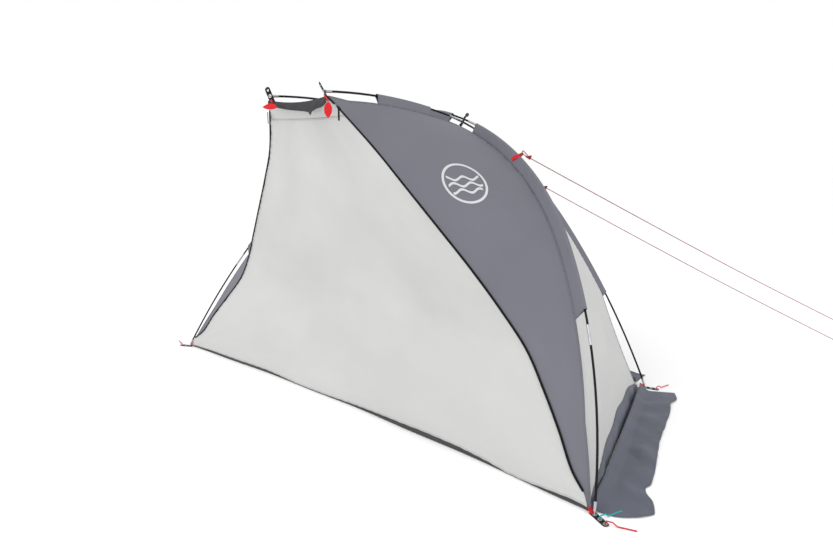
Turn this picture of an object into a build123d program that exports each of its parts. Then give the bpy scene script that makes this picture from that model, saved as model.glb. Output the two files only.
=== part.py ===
"""A three-pole beach shelter (tarp shelter) with its front panel zipped shut.

Millimetres. +X is to the right seen from the front, +Y to the rear, +Z up. The origin is on the
ground, under the middle of the groundsheet. Whatever stands on the left is the mirror image of
what stands on the right.
"""
import math
import os

from build123d import *

# ---- driving dimensions -------------------------------------------------------------------------
WIDTH = 2740  # between the two front pole feet
REAR_WIDTH = 2360  # between the two rear pole feet
DEPTH = 1210  # from the front edge to the rear edge on the ground
FRONT = -DEPTH / 2
REAR = DEPTH / 2

ARCH_LEAN = 28.8  # the arch leans back, degrees from upright
ARCH_TOP = 1682  # its height along its own plane
ARCH_ARCS = [(480, 15.5), (1477, 42.2), (2740, 23.15)]  # radius and turn, from the top outwards
BOW_LEAN = 33.7  # each side bow leans inwards, degrees from upright
BOW_TIP = (-138, 1806)  # its front tip: how far past the front edge, height along its plane
BOW_RISE = 4.4  # it still climbs this many degrees at its tip
BOW_ARCS = [(2490, 18.2), (902, 65.4), (1877, 32.05)]  # radius and turn, from the tip backwards

POLE_R = 4.75  # fibreglass tube, outside
POLE_BORE = 2.6
CORD_R = 2.0  # shock cord and guy line
SECTION = 665  # length of one pole section
FERRULE = 84  # steel sleeve over each pole joint
END_FERRULE = 30  # steel cap on each pole end
FERRULE_R = 5.9
PIN_R = 2.5  # the pin of an end cap, which stands in an eyelet
PIN = 14

CLOTH = 2.0
SLEEVE = 45  # from the pole's centre line in to the canopy
FOOT_GAP = 14  # the same beside the arch's foot
TAPER = 320  # pole length over which the gap grows from one to the other
REAR_CORNER = (REAR_WIDTH / 2 - 24, REAR - 50, 5)  # where the canopy's edge meets the ground
TIP_GAP = 20  # the same at the front tips of the side bows
TIP_TAPER = 120
FOOT_BAND = 86  # height of the groundsheet's turned-up edge
HEM = 28  # height of the band along the front edge
HEM_BOW = 55  # how far the front edge is pulled in at its middle
SKIRT = 158  # width of the flaps that lie on the ground
SKIRT_SEAM = 40  # height of the seam they hang from

WEB = 25  # webbing width
WEB_T = 2.0
EYELET_STEP = 28
EYELET_R = 4.5
EYELET_RIM = 8.5
ZIP_W = 12
PEG_R = 2.5
PEG = 104  # length of what shows of a corner peg
RUNNER_AT = 36  # how far down its guy line a runner sits

# The edge that the door's zip follows, right side, from the ground to the front corner of the roof.
ZIP_EDGE = [
    (1322, FRONT + 16, 62),
    (1260, FRONT + 44, 115),
    (1182, FRONT + 85, 233),
    (1090, FRONT + 132, 354),
    (988, FRONT + 172, 484),
    (869, FRONT + 160, 633),
    (748, FRONT + 122, 790),
    (617, FRONT + 77, 949),
    (485, FRONT + 31, 1108),
    (355, FRONT - 20, 1269),
    (213, FRONT - 112, 1456),
]

# Guy line routes: knot at the tab, two points of a slight sag, hook of the ground peg.
GUY_ARCH_ROUTE = [(652, 82, 1249.5), (1140, 846, 825), (1627, 1610, 412), (2110, 2365, 24)]
GUY_BOW_ROUTE = [(466.5, 649.6, 1069.8), (990, 1101, 708), (1513, 1551, 358), (2036, 2000, 24)]

UP = Vector(0, 0, 1)

os.makedirs("parts", exist_ok=True)


def write(made, name):
    """Labels a finished piece and writes its STEP file."""
    made.part.label = name
    export_step(made.part, f"parts/{name}.step")


def flip(v):
    """The mirror image of a point or a direction, on the other side."""
    return Vector(-v.X, v.Y, v.Z)


# ---- centre lines -------------------------------------------------------------------------------
lean = math.radians(ARCH_LEAN)
ARCH_PLANE = Plane(
    origin=(0, FRONT, 0), x_dir=(1, 0, 0), z_dir=(0, -math.cos(lean), math.sin(lean))
)
lean = math.radians(BOW_LEAN)
BOW_PLANE = Plane(
    origin=(REAR_WIDTH / 2, FRONT, 0), x_dir=(0, 1, 0), z_dir=(math.cos(lean), 0, math.sin(lean))
)


def arc_chain(plane, start, heading, arcs):
    """Arcs that follow each other smoothly and all turn clockwise in the plane."""
    with BuildLine(plane) as line:
        at, angle = start, heading
        for radius, turn in arcs:
            direction = (math.cos(math.radians(angle)), math.sin(math.radians(angle)))
            arc = JernArc(start=at, tangent=direction, radius=radius, arc_size=-turn)
            at = plane.to_local_coords(arc @ 1)
            at = (at.X, at.Y)
            angle -= turn
    return line.wire()


def lengthwise(wire, start, end):
    """The stretch of a wire between two distances from its beginning."""
    return wire.trim(max(start / wire.length, 0), min(end / wire.length, 1))


arch_half = arc_chain(ARCH_PLANE, (0, ARCH_TOP), 0, ARCH_ARCS)  # top centre to the right foot
bow_right = arc_chain(BOW_PLANE, BOW_TIP, BOW_RISE, BOW_ARCS)  # front tip to the rear foot
with BuildLine() as both_halves:
    add(arch_half)
    mirror(about=Plane.YZ)
arch_whole = both_halves.wire()
bow_left = bow_right.mirror(Plane.YZ)
with BuildLine() as zip_line:
    Spline(*ZIP_EDGE)
zip_edge = zip_line.wire()

HUB = 0.108  # where the bow crosses it, as a share of the arch's half
HUB_BOW = 0.325  # the same point as a share of the bow from its tip
GUY_ARCH = 0.303  # where the guy lines start, as shares of the same two lines
GUY_BOW = 0.545
BOW_SLEEVE_END = 0.802  # where the rear sleeve of the bow ends, above the foot


def gap_at(from_end, least, taper):
    """The gap grows from its least at a pole's end to a sleeve's width."""
    return min(SLEEVE, least + (SLEEVE - least) * from_end / taper)


def arch_seam(share, extra=0.0):
    """A point of the canopy under the right half of the arch, share 0 at the top, 1 at the foot."""
    inward = (arch_half % share).cross(ARCH_PLANE.z_dir)
    gap = gap_at((1 - share) * arch_half.length, FOOT_GAP, TAPER) + extra
    return (arch_half @ share) + inward * gap


def bow_seam(share, extra=0.0):
    """A point of the canopy under the right bow, share 0 at the front tip, 1 at the rear foot.
    Below the rear sleeve its edge runs straight down to the corner."""
    inward = (bow_right % share).cross(BOW_PLANE.z_dir)
    if share <= BOW_SLEEVE_END:
        gap = gap_at(share * bow_right.length, TIP_GAP, TIP_TAPER)
        return (bow_right @ share) + inward * (gap + extra)
    drop = (share - BOW_SLEEVE_END) / (1 - BOW_SLEEVE_END)
    start = bow_seam(BOW_SLEEVE_END)
    return start + (Vector(REAR_CORNER) - start) * drop + inward * extra


def steps(start, end, count):
    return [start + (end - start) * i / (count - 1) for i in range(count)]


# ---- cloth --------------------------------------------------------------------------------------
def panel(first, second, thickness=CLOTH):
    """A thin panel between two edges, each a list of points in step with the other."""
    last = len(first) - 1
    with BuildPart() as made:
        for i, (a, b) in enumerate(zip(first, second)):
            before, after = max(i - 1, 0), min(i + 1, last)
            along = first[after] + second[after] - first[before] - second[before]
            across = b - a
            square = across.cross(along).cross(across)
            with BuildSketch(Plane(origin=(a + b) / 2, x_dir=across, z_dir=square)):
                Rectangle(across.length, thickness)
        loft(ruled=True)
    return made


def inset(first, second, start, end):
    """Both edges moved towards each other, by start on the first and end on the second."""
    moved = [[], []]
    for a, b in zip(first, second):
        way = (b - a).normalized()
        moved[0].append(a + way * start)
        moved[1].append(b - way * end)
    return moved


def groundsheet():
    half, rear_half = WIDTH / 2 - 26, REAR_WIDTH / 2 - 26
    with BuildPart() as made:
        with BuildSketch():
            with BuildLine():
                SagittaArc((half, FRONT + 12), (-half, FRONT + 12), -HEM_BOW)
                Polyline(
                    (-half, FRONT + 12), (-rear_half, REAR + 6), (rear_half, REAR + 6),
                    (half, FRONT + 12),
                )
            make_face()
        extrude(amount=CLOTH)
    return made


def front_hem():
    half = WIDTH / 2 - 60
    height = HEM - CLOTH
    with BuildPart() as made:
        with BuildLine(Plane.XY.offset(CLOTH + height / 2)) as edge:
            SagittaArc((-half, FRONT + 17), (half, FRONT + 17), HEM_BOW)
        with BuildSketch(Plane(origin=edge.wire() @ 0, z_dir=edge.wire() % 0, x_dir=(0, 0, 1))):
            Rectangle(height, CLOTH)
        sweep(path=edge.wire())
    return made


def door_panel():
    right = [Vector(1338, FRONT + 14, HEM + 4)] + [zip_edge @ s for s in steps(0, 0.952, 12)]
    return panel(*inset(right, [flip(p) for p in right], ZIP_W + 2, ZIP_W + 2))


def front_valance():
    """The strip that the roof hangs over the door's top edge."""
    top = bow_seam(0.004, 6) + Vector(-6, -16, 0)
    bottom = top + Vector(-4, -12, -54)
    return panel([top, bottom], [flip(top), flip(bottom)])


def side_panel():
    front = [zip_edge @ s for s in steps(0.03, 0.99, 14)]
    back = [arch_seam(s) for s in steps(0.955, HUB + 0.025, 14)]
    return panel(*inset(front, back, ZIP_W / 2 + 3, 4))


def side_wall():
    front = [arch_seam(s) for s in steps(0.948, HUB + 0.05, 12)]
    back = [bow_seam(s) for s in steps(0.958, HUB_BOW + 0.06, 12)]
    return panel(*inset(front, back, 4, 4))


def rear_wall():
    right = [bow_seam(s, 1) for s in steps(0.958, HUB_BOW + 0.01, 14)]
    return panel(*inset(right, [flip(p) for p in right], 5, 5))


def roof_panel():
    right = [bow_seam(s, 1) for s in steps(HUB_BOW - 0.004, 0.004, 7)]
    return panel(*inset(right, [flip(p) for p in right], 5, 5))


def foot_band():
    """The groundsheet's edge, turned up along one side."""
    low = [arch_seam(0.995) + Vector(-8, 24, 0), bow_seam(0.995) + Vector(-2, -34, 0)]
    high = [arch_seam(0.961) + Vector(-4, 24, 0), bow_seam(0.970) + Vector(-2, -24, 0)]
    bottom = [Vector(p.X, p.Y, CLOTH + 0.5) for p in low]
    top = [Vector(p.X, p.Y, FOOT_BAND - 2) for p in high]
    return panel([bottom[0], top[0]], [bottom[1], top[1]])


def rear_foot_band():
    low = bow_seam(0.995) + Vector(-30, -6, 0)
    high = bow_seam(0.970) + Vector(-30, -4, 0)
    bottom = Vector(low.X, low.Y, CLOTH + 0.5)
    top = Vector(high.X, high.Y, FOOT_BAND - 2)
    return panel([bottom, top], [flip(bottom), flip(top)])


def skirt(seam_start, seam_end, outer_start, outer_end):
    """A flap from its seam on the wall's foot down to the ground beside the shelter."""
    return panel([seam_start, outer_start], [seam_end, outer_end])


def sleeve(points_at_seam, points_at_pole):
    """The strip of cloth that joins the canopy to a pole."""
    return panel(*inset(points_at_seam, points_at_pole, 3, FERRULE_R + 0.8), thickness=1.6)


# ---- poles --------------------------------------------------------------------------------------
def tube(path, outer, inner=0.0):
    with BuildPart() as made:
        with BuildSketch(Plane(origin=path @ 0, z_dir=path % 0)):
            Circle(outer)
            if inner:
                Circle(inner, mode=Mode.SUBTRACT)
        sweep(path=path)
    return made


def joints_of(length, first):
    """Distances of a pole's joints from its beginning."""
    found = []
    while first < length - SECTION / 2:
        found.append(first)
        first += SECTION
    return found


def pole(wire, joints):
    """Fibreglass tubes, end to end with a hair's breadth between them."""
    ends = [PIN, *joints, wire.length - PIN]
    with BuildPart() as made:
        for start, end in zip(ends, ends[1:]):
            add(tube(lengthwise(wire, start + 0.5, end - 0.5), POLE_R, POLE_BORE).part)
    return made


def ferrules(wire, joints):
    """Steel sleeves over the joints, and capped steel ends with a pin."""
    with BuildPart() as made:
        for at in joints:
            path = lengthwise(wire, at - FERRULE / 2, at + FERRULE / 2)
            add(tube(path, FERRULE_R, POLE_R + 0.02).part)
        for start, at, way in ((PIN, 0, -1), (wire.length - PIN - END_FERRULE, 1, 1)):
            path = lengthwise(wire, start, start + END_FERRULE)
            add(tube(path, FERRULE_R, POLE_R + 0.02).part)
            for radius, length in ((FERRULE_R, 3), (PIN_R, PIN)):
                with BuildSketch(Plane(origin=path @ at, z_dir=(path % at) * way)):
                    Circle(radius)
                extrude(amount=length)
    return made


def shock_cords():
    with BuildPart() as made:
        for wire in (arch_whole, bow_right, bow_left):
            path = lengthwise(wire, PIN + 6, wire.length - PIN - 6)
            add(tube(path, CORD_R).part)
    return made


# ---- webbing, zips and small hardware -----------------------------------------------------------
def strap(at, along, face, start, end):
    """A webbing strap around the pole's pin at its eyelet 0, cut square at start, round at end."""
    with BuildPart() as made:
        with BuildSketch(Plane(origin=at, x_dir=along, z_dir=face)):
            with BuildLine():
                Polyline((end, -WEB / 2), (start, -WEB / 2), (start, WEB / 2), (end, WEB / 2))
                ThreePointArc((end, WEB / 2), (end + WEB / 2, 0), (end, -WEB / 2))
            make_face()
            with Locations(*[(x, 0) for x in (0, EYELET_STEP, 2 * EYELET_STEP) if x < end + 1]):
                Circle(EYELET_R + 1.0, mode=Mode.SUBTRACT)
        extrude(amount=WEB_T)
    return made


def eyelets(places):
    """Pressed metal rings in the straps: a barrel with a flat rim above the webbing."""
    with BuildPart() as made:
        for at, along, face, count in places:
            plane = Plane(origin=at, x_dir=along, z_dir=face)
            for i in range(count):
                with BuildSketch(plane):
                    with Locations((i * EYELET_STEP, 0)):
                        Circle(EYELET_R + 0.9)
                        Circle(EYELET_R, mode=Mode.SUBTRACT)
                extrude(amount=WEB_T + 0.1)
                with BuildSketch(plane.offset(WEB_T + 0.1)):
                    with Locations((i * EYELET_STEP, 0)):
                        Circle(EYELET_RIM)
                        Circle(EYELET_R, mode=Mode.SUBTRACT)
                extrude(amount=0.8)
    return made


def leaf_tag(at, down, face):
    """A leaf-shaped red pull tab."""
    with BuildPart() as made:
        with BuildSketch(Plane(origin=at, x_dir=down, z_dir=face)):
            with BuildLine():
                Spline((0, 0), (18, 16), (42, 14), (62, 0), tangents=[(0.3, 1), (0.8, -1)])
                Spline((62, 0), (42, -14), (18, -16), (0, 0), tangents=[(-0.8, -1), (-0.3, 1)])
            make_face()
        extrude(amount=WEB_T)
    return made


def zip_tape():
    left, right = [], []
    for s in steps(0.012, 0.99, 16):
        across = (zip_edge % s).cross(Vector(0.5, -1, 0.25)).normalized()
        left.append((zip_edge @ s) + across * ZIP_W / 2)
        right.append((zip_edge @ s) - across * ZIP_W / 2)
    return panel(left, right, thickness=2.4)


def zip_slider(at, along, face):
    """The slider body: a wedge that is wider at its mouth."""
    with BuildPart() as made:
        with BuildSketch(Plane(origin=at, x_dir=along, z_dir=face)):
            with BuildLine():
                Polyline((-7, -4), (4, -5.5), (8, -3), (8, 3), (4, 5.5), (-7, 4), close=True)
            make_face()
        extrude(amount=4)
        fillet(made.edges().filter_by(Axis(at, face), tolerance=1).group_by(Axis(at, along))[0], 1)
    return made


def zip_puller(at, down, face):
    """The pull tab with its cord loop, hanging from the slider."""
    with BuildPart() as made:
        with BuildSketch(Plane(origin=at, x_dir=down, z_dir=face)):
            with Locations((24, 0)):
                SlotOverall(52, 7)
            with Locations((2.5, 0)):
                Circle(1.8, mode=Mode.SUBTRACT)
        extrude(amount=2.2)
    return made


def hub_hook(at, along, up):
    """The plastic hook with a ball end that ties the crossing poles to the canopy."""
    front = along.cross(up).normalized()
    if front.Y > 0:
        front = front * -1
    route = [at + front * a + up * h for a, h in ((14, -40), (11, -14), (11, 10), (2, 23))]
    with BuildPart() as made:
        with BuildLine() as spine:
            FilletPolyline(*route, radius=8)
        with BuildSketch(Plane(origin=spine.wire() @ 0, z_dir=spine.wire() % 0)):
            Circle(2.6)
        sweep(path=spine.wire())
        with Locations(Location(at + up * 25)):
            Sphere(7)
    return made


def tabs(places, length, width):
    """Short flat webbing tabs, each centred on its place."""
    with BuildPart() as made:
        for at, along, face in places:
            with BuildSketch(Plane(origin=at, x_dir=along, z_dir=face)):
                Rectangle(length, width)
            extrude(amount=WEB_T / 2, both=True)
    return made


def ground_peg(at, along, length):
    """A bent wire peg lying on the ground with its hook through an eyelet."""
    low = PEG_R + 0.05
    base = Vector(at.X, at.Y, 0)
    bends = ((0, 0.6), (0, 15), (24, 15), (40, low), (length, low))
    route = [base + along * ahead + Vector(0, 0, height) for ahead, height in bends]
    with BuildPart() as made:
        with BuildLine() as spine:
            FilletPolyline(*route, radius=[5, 5, 8])
        with BuildSketch(Plane(origin=spine.wire() @ 0, z_dir=spine.wire() % 0)):
            Circle(PEG_R)
        sweep(path=spine.wire())
    return made


def guy_peg(end, away):
    """What stands above the ground of the peg that holds a guy line: its shank and its hook."""
    base = Vector(end.X, end.Y, 0) + away * (PEG_R - 0.4)
    bends = ((-7, 0), (3, 34), (20, 38), (24, 24))
    route = [base + away * ahead + Vector(0, 0, height) for ahead, height in bends]
    with BuildPart() as made:
        with BuildLine() as spine:
            FilletPolyline(*route, radius=5)
        with BuildSketch():
            with Locations(spine.wire() @ 0):
                Circle(PEG_R)
        sweep(path=spine.wire())
    return made


def cord(route):
    """A cord along straight runs joined by arcs as large as the runs allow."""
    points = [Vector(p) for p in route]
    radii = []
    for a, b, c in zip(points, points[1:], points[2:]):
        half_turn = math.radians((b - a).get_angle(c - b)) / 2
        radii.append(0.45 * min((b - a).length, (c - b).length) / math.tan(half_turn))
    with BuildLine() as line:
        FilletPolyline(*points, radius=radii)
    made = tube(line.wire(), CORD_R)
    share = made.part.volume / (math.pi * CORD_R**2 * line.wire().length)
    print(f"cord {line.wire().length:.0f} mm, radii {[round(r) for r in radii]}, volume {share:.4f}")
    return made


def guy_runner(route):
    """The runner that tightens a guy line: a small triangular plate on the cord."""
    start, way = Vector(route[0]), (Vector(route[1]) - Vector(route[0])).normalized()
    at = start + way * RUNNER_AT
    flat = way.cross(Vector(0, 0, 1)).normalized()
    with BuildPart() as made:
        with BuildSketch(Plane(origin=at - flat * 3.5, x_dir=way, z_dir=flat)):
            with BuildLine():
                Polyline((-14, -5), (16, -7), (16, 13), (10, 13), close=True)
            make_face()
        extrude(amount=7)
        with BuildSketch(Plane(origin=at - way * 30, z_dir=way)):
            Circle(CORD_R + 0.4)
        extrude(amount=60, mode=Mode.SUBTRACT)
    return made


# ---- build --------------------------------------------------------------------------------------
write(groundsheet(), "groundsheet")
write(front_hem(), "front_hem")
write(door_panel(), "door_panel")
write(front_valance(), "front_valance")
write(rear_wall(), "rear_wall")
write(roof_panel(), "roof_panel")
write(rear_foot_band(), "foot_band_rear")


def write_pair(made, name):
    """Writes a piece of the right side, and its mirror image for the left."""
    write(made, f"{name}_right")
    with BuildPart() as other:
        add(made.part.mirror(Plane.YZ))
    write(other, f"{name}_left")


write_pair(side_panel(), "side_panel")
write_pair(side_wall(), "side_wall")
write_pair(foot_band(), "foot_band")

front_seam = arch_seam(0.985) + Vector(6, 40, 0)
front_seam = Vector(front_seam.X, front_seam.Y, SKIRT_SEAM)
rear_seam = Vector(REAR_WIDTH / 2 - 13.2, REAR - 18.5, SKIRT_SEAM)
outward = (rear_seam - front_seam).cross(Vector(0, 0, 1)).normalized()
drop = Vector(0, 0, CLOTH / 2 + 0.3 - SKIRT_SEAM)
write_pair(
    skirt(
        front_seam, rear_seam,
        front_seam + outward * SKIRT + drop, rear_seam + outward * SKIRT + drop,
    ),
    "skirt",
)
rear_corner = Vector(REAR_WIDTH / 2 - 67, REAR + 22, SKIRT_SEAM)
rear_outer = Vector(rear_corner.X, REAR + 22 + SKIRT, 0) + Vector(0, 0, CLOTH / 2 + 0.3)
write(skirt(rear_corner, flip(rear_corner), rear_outer, flip(rear_outer)), "skirt_rear")

centre = steps(0, 0.072, 3)
middle_seam = [flip(arch_seam(s)) for s in centre[:0:-1]] + [arch_seam(s) for s in centre]
middle_pole = [flip(arch_half @ s) for s in centre[:0:-1]] + [arch_half @ s for s in centre]
write(sleeve(middle_seam, middle_pole), "sleeve_arch_centre")
shares = steps(0.152, 0.672, 9)
write_pair(sleeve([arch_seam(s) for s in shares], [arch_half @ s for s in shares]), "sleeve_arch")
shares = steps(0.112, 0.238, 4)
write_pair(
    sleeve([bow_seam(s) for s in shares], [bow_right @ s for s in shares]), "sleeve_bow_front"
)
shares = steps(0.385, BOW_SLEEVE_END, 9)
write_pair(
    sleeve([bow_seam(s) for s in shares], [bow_right @ s for s in shares]), "sleeve_bow_rear"
)

arch_joints = joints_of(arch_whole.length, SECTION)
bow_joints = joints_of(bow_right.length, bow_right.length - 3 * SECTION)
write(pole(arch_whole, arch_joints), "arch_pole")
write(ferrules(arch_whole, arch_joints), "arch_ferrules")
write_pair(pole(bow_right, bow_joints), "bow_pole")
write_pair(ferrules(bow_right, bow_joints), "bow_ferrules")
write(shock_cords(), "shock_cords")

front_foot, rear_foot = arch_whole @ 1, bow_right @ 1
if (arch_whole @ 0).X > 0:
    front_foot = arch_whole @ 0
corners = {
    "front": (Vector(front_foot.X, front_foot.Y, 0), Vector(0.877, -0.48, 0)),
    "rear": (Vector(rear_foot.X, rear_foot.Y, 0), Vector(0.98, 0.2, 0)),
}
rings, red_tabs = [], []
for corner, (foot, along) in corners.items():
    write_pair(strap(foot, along, UP, -16, 2 * EYELET_STEP), f"corner_strap_{corner}")
    rings.append((foot, along, UP, 3))
    rings.append((flip(foot), flip(along), UP, 3))
    climb = (UP * 0.5 - along * 0.86).normalized()
    place = foot - along * 20 + UP * 10
    red_tabs.append((place, climb, climb.cross(along.cross(UP))))
    red_tabs.append((flip(place), flip(climb), flip(climb.cross(along.cross(UP)))))

tip, tip_way = bow_right @ 0, bow_right % 0
for name, at, way, up in (
    ("right", tip, tip_way, Vector(-0.75, 0, 1)),
    ("left", flip(tip), flip(tip_way), Vector(-0.58, 0, 1)),
):
    up = (up - way * way.dot(up)).normalized()
    write(strap(at + way * 3, up, -way, -34, EYELET_STEP + 2), f"top_strap_{name}")
    rings.append((at + way * 3, up, -way, 2))
write(eyelets(rings), "eyelets")
write(tabs(red_tabs, 24, WEB), "corner_tabs")

tabs_at = []
for wire, plane, share in ((arch_half, ARCH_PLANE, GUY_ARCH), (bow_right, BOW_PLANE, GUY_BOW)):
    out = (wire % share).cross(plane.z_dir) * -1
    place = (wire @ share) + out * 14
    tabs_at.append((place, out, (wire % share).cross(out)))
    tabs_at.append((flip(place), flip(out), flip((wire % share).cross(out))))
write(tabs(tabs_at, 15, 22), "guy_tabs")

hanging = Vector(232, FRONT - 162, 1456)
write(leaf_tag(hanging, Vector(-0.08, 0, -1), Vector(0.62, -0.78, 0)), "leaf_tag_right")
sideways = Vector(-110, FRONT - 162, 1456)
write(leaf_tag(sideways, Vector(-0.72, -0.69, 0), Vector(0.55, -0.58, 0.6)), "leaf_tag_left")

write_pair(zip_tape(), "zip_tape")
slide = 0.985
zip_way = zip_edge % slide
zip_face = Vector(0.5, -1, 0.25)
zip_face = (zip_face - zip_way * zip_way.dot(zip_face)).normalized()
slider_at = (zip_edge @ slide) + zip_face * 3.2
write_pair(zip_slider(slider_at, zip_way, zip_face), "zip_slider")
pull_face = Vector(0.45, -0.893, 0)
pull_at = slider_at + zip_face * 8 + pull_face * 2
write_pair(zip_puller(pull_at, UP * -1, pull_face), "zip_puller")

hub_way = arch_half % HUB
hub_at = (arch_half @ HUB) + hub_way * 22
hub_up = hub_way.cross(ARCH_PLANE.z_dir) * -1
write_pair(hub_hook(hub_at, hub_way, hub_up), "hub_hook")

write_pair(
    ground_peg(front_foot + corners["front"][1] * 2 * EYELET_STEP, Vector(0.95, 0.31, 0), PEG),
    "corner_peg_front",
)
write_pair(
    ground_peg(rear_foot + corners["rear"][1] * 2 * EYELET_STEP, Vector(0.34, 0.94, 0), PEG),
    "corner_peg_rear",
)
write(
    ground_peg(front_foot + corners["front"][1] * EYELET_STEP, Vector(0.44, 0.9, 0), PEG),
    "teal_peg_front",
)

for route, name in ((GUY_ARCH_ROUTE, "arch"), (GUY_BOW_ROUTE, "bow")):
    write(cord(route), f"guy_line_{name}")
    write(guy_runner(route), f"guy_runner_{name}")
    end = Vector(route[-1])
    away = end - Vector(route[-2])
    write(guy_peg(end, Vector(away.X, away.Y, 0).normalized()), f"guy_peg_{name}")
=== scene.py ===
"""The looks of a three-pole beach shelter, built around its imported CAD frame. Metres."""
import math

import bpy
import numpy as np
from mathutils import Matrix, Vector
from mathutils.bvhtree import BVHTree


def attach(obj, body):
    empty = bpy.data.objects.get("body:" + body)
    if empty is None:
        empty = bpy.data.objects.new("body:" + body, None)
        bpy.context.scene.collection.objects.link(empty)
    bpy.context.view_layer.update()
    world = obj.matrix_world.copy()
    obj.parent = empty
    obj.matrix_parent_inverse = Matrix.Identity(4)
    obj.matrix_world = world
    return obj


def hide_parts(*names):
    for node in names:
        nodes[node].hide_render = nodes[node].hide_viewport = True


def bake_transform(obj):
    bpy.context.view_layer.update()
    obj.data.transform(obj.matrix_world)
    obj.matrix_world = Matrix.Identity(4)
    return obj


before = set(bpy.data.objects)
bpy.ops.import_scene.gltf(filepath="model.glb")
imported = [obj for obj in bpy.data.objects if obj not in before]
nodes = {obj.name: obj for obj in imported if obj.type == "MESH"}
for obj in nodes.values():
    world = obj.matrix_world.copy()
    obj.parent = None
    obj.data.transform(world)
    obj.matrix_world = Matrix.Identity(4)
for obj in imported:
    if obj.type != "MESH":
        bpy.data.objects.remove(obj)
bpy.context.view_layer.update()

# ---- camera, light and floor ----
CAMERA_AT = (1.953, -2.342, 1.282)
CAMERA_RIGHT = Vector((0.779, 0.627, 0.0)).normalized()
CAMERA_UP = Vector((-0.145, 0.180, 0.973)).normalized()
LENS, SENSOR, FAR_CLIP = 23.77, 36, 60
LIGHT_AIM = Vector((0, 0, 0.6))
FLOOR_REACH, FLOOR_DROP = 30, 0.0008

scene = bpy.context.scene
camera = bpy.data.objects.new("camera", bpy.data.cameras.new("camera"))
scene.collection.objects.link(camera)
back = CAMERA_RIGHT.cross(CAMERA_UP).normalized()
turn = Matrix((CAMERA_RIGHT, back.cross(CAMERA_RIGHT), back)).transposed()
camera.matrix_world = Matrix.Translation(CAMERA_AT) @ turn.to_4x4()
camera.data.sensor_width = SENSOR
camera.data.lens = LENS
camera.data.clip_end = FAR_CLIP
scene.camera = camera


def mesh_object(name, points, faces, smooth_faces=False):
    """A new object from its points and faces."""
    mesh = bpy.data.meshes.new(name)
    mesh.from_pydata(np.asarray(points, float).tolist(), [], faces)
    if smooth_faces:
        mesh.shade_smooth()
    made = bpy.data.objects.new(name, mesh)
    scene.collection.objects.link(made)
    return made


def shader(name, colour=(0.8, 0.8, 0.8), roughness=0.6, metallic=0.0):
    """A new node material: itself, its tree and its Principled shader."""
    made = bpy.data.materials.new(name)
    made.use_nodes = True
    bsdf = made.node_tree.nodes["Principled BSDF"]
    bsdf.inputs["Base Color"].default_value = (*colour, 1)
    bsdf.inputs["Roughness"].default_value = roughness
    bsdf.inputs["Metallic"].default_value = metallic
    return made, made.node_tree, bsdf


def area_light(name, at, size, power):
    data = bpy.data.lights.new(name, "AREA")
    data.size = size
    data.energy = power
    lamp = bpy.data.objects.new(name, data)
    scene.collection.objects.link(lamp)
    lamp.location = at
    lamp.rotation_mode = "QUATERNION"
    lamp.rotation_quaternion = (Vector(at) - LIGHT_AIM).to_track_quat("Z", "Y")


area_light("key", (-2.2, -5.5, 5.2), 4.5, 150)
area_light("fill", (5.5, -1.5, 3.6), 4.0, 40)
world = bpy.data.worlds.new("studio")
world.use_nodes = True
world.node_tree.nodes["Background"].inputs["Color"].default_value = (1, 1, 1, 1)
world.node_tree.nodes["Background"].inputs["Strength"].default_value = 1.0
scene.world = world
scene.view_settings.view_transform = "Standard"

floor = mesh_object(
    "floor", [(x * FLOOR_REACH, y * FLOOR_REACH, 0) for x, y in ((-1, -1), (1, -1), (1, 1), (-1, 1))],
    [(0, 1, 2, 3)],
)
floor.data.materials.append(shader("floor", (1.0, 1.0, 1.0), 0.9)[0])
floor.location.z = -FLOOR_DROP

# ---- lines of the poles, seams and zip ----
FRONT, FLOOR_REAR = -0.605, 0.595  # y of the arch's feet, and of the floor's rear edge
ARCH_LEAN, BOW_LEAN = math.radians(28.8), math.radians(33.7)  # of the poles' planes
HUB, HUB_BOW = 0.108, 0.325  # shares of the arch and of the bow where they cross
SLEEVE = 0.045  # from a pole to the seam under it
FOOT_GAP, TAPER = 0.014, 0.320  # the same at the arch's foot, and the length it widens over
TIP_GAP, TIP_TAPER = 0.020, 0.120  # the same at the bow's tip
BOW_SLEEVE_END = 0.802  # share of the bow
WAY_STEP = 0.004  # share of a line, to either side, that its direction is taken over
REAR_CORNER = np.array([1.156, 0.555, 0.005])
FLIP = np.array([-1.0, 1.0, 1.0])
SIDES = (("right", np.ones(3)), ("left", FLIP))


def unit(v):
    v = np.asarray(v, float)
    return v / np.linalg.norm(v, axis=-1, keepdims=True)


def square_to(way, v):
    """The unit direction nearest to v that is square to another one."""
    v = np.asarray(v, float)
    return unit(v - way * (v @ way))


class Line:
    """A line through closely spaced points, read by share of its length."""

    def __init__(self, points):
        self.points = np.asarray(points, float)
        steps = np.linalg.norm(np.diff(self.points, axis=0), axis=1)
        self.length = steps.sum()
        self.shares = np.concatenate([[0], np.cumsum(steps)]) / self.length

    def at(self, share):
        return np.stack(
            [np.interp(share, self.shares, self.points[:, i]) for i in range(3)], axis=-1
        )

    def way(self, share):
        share = np.asarray(share, float)
        low, high = np.clip(share - WAY_STEP, 0, 1), np.clip(share + WAY_STEP, 0, 1)
        return unit(self.at(high) - self.at(low))


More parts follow.
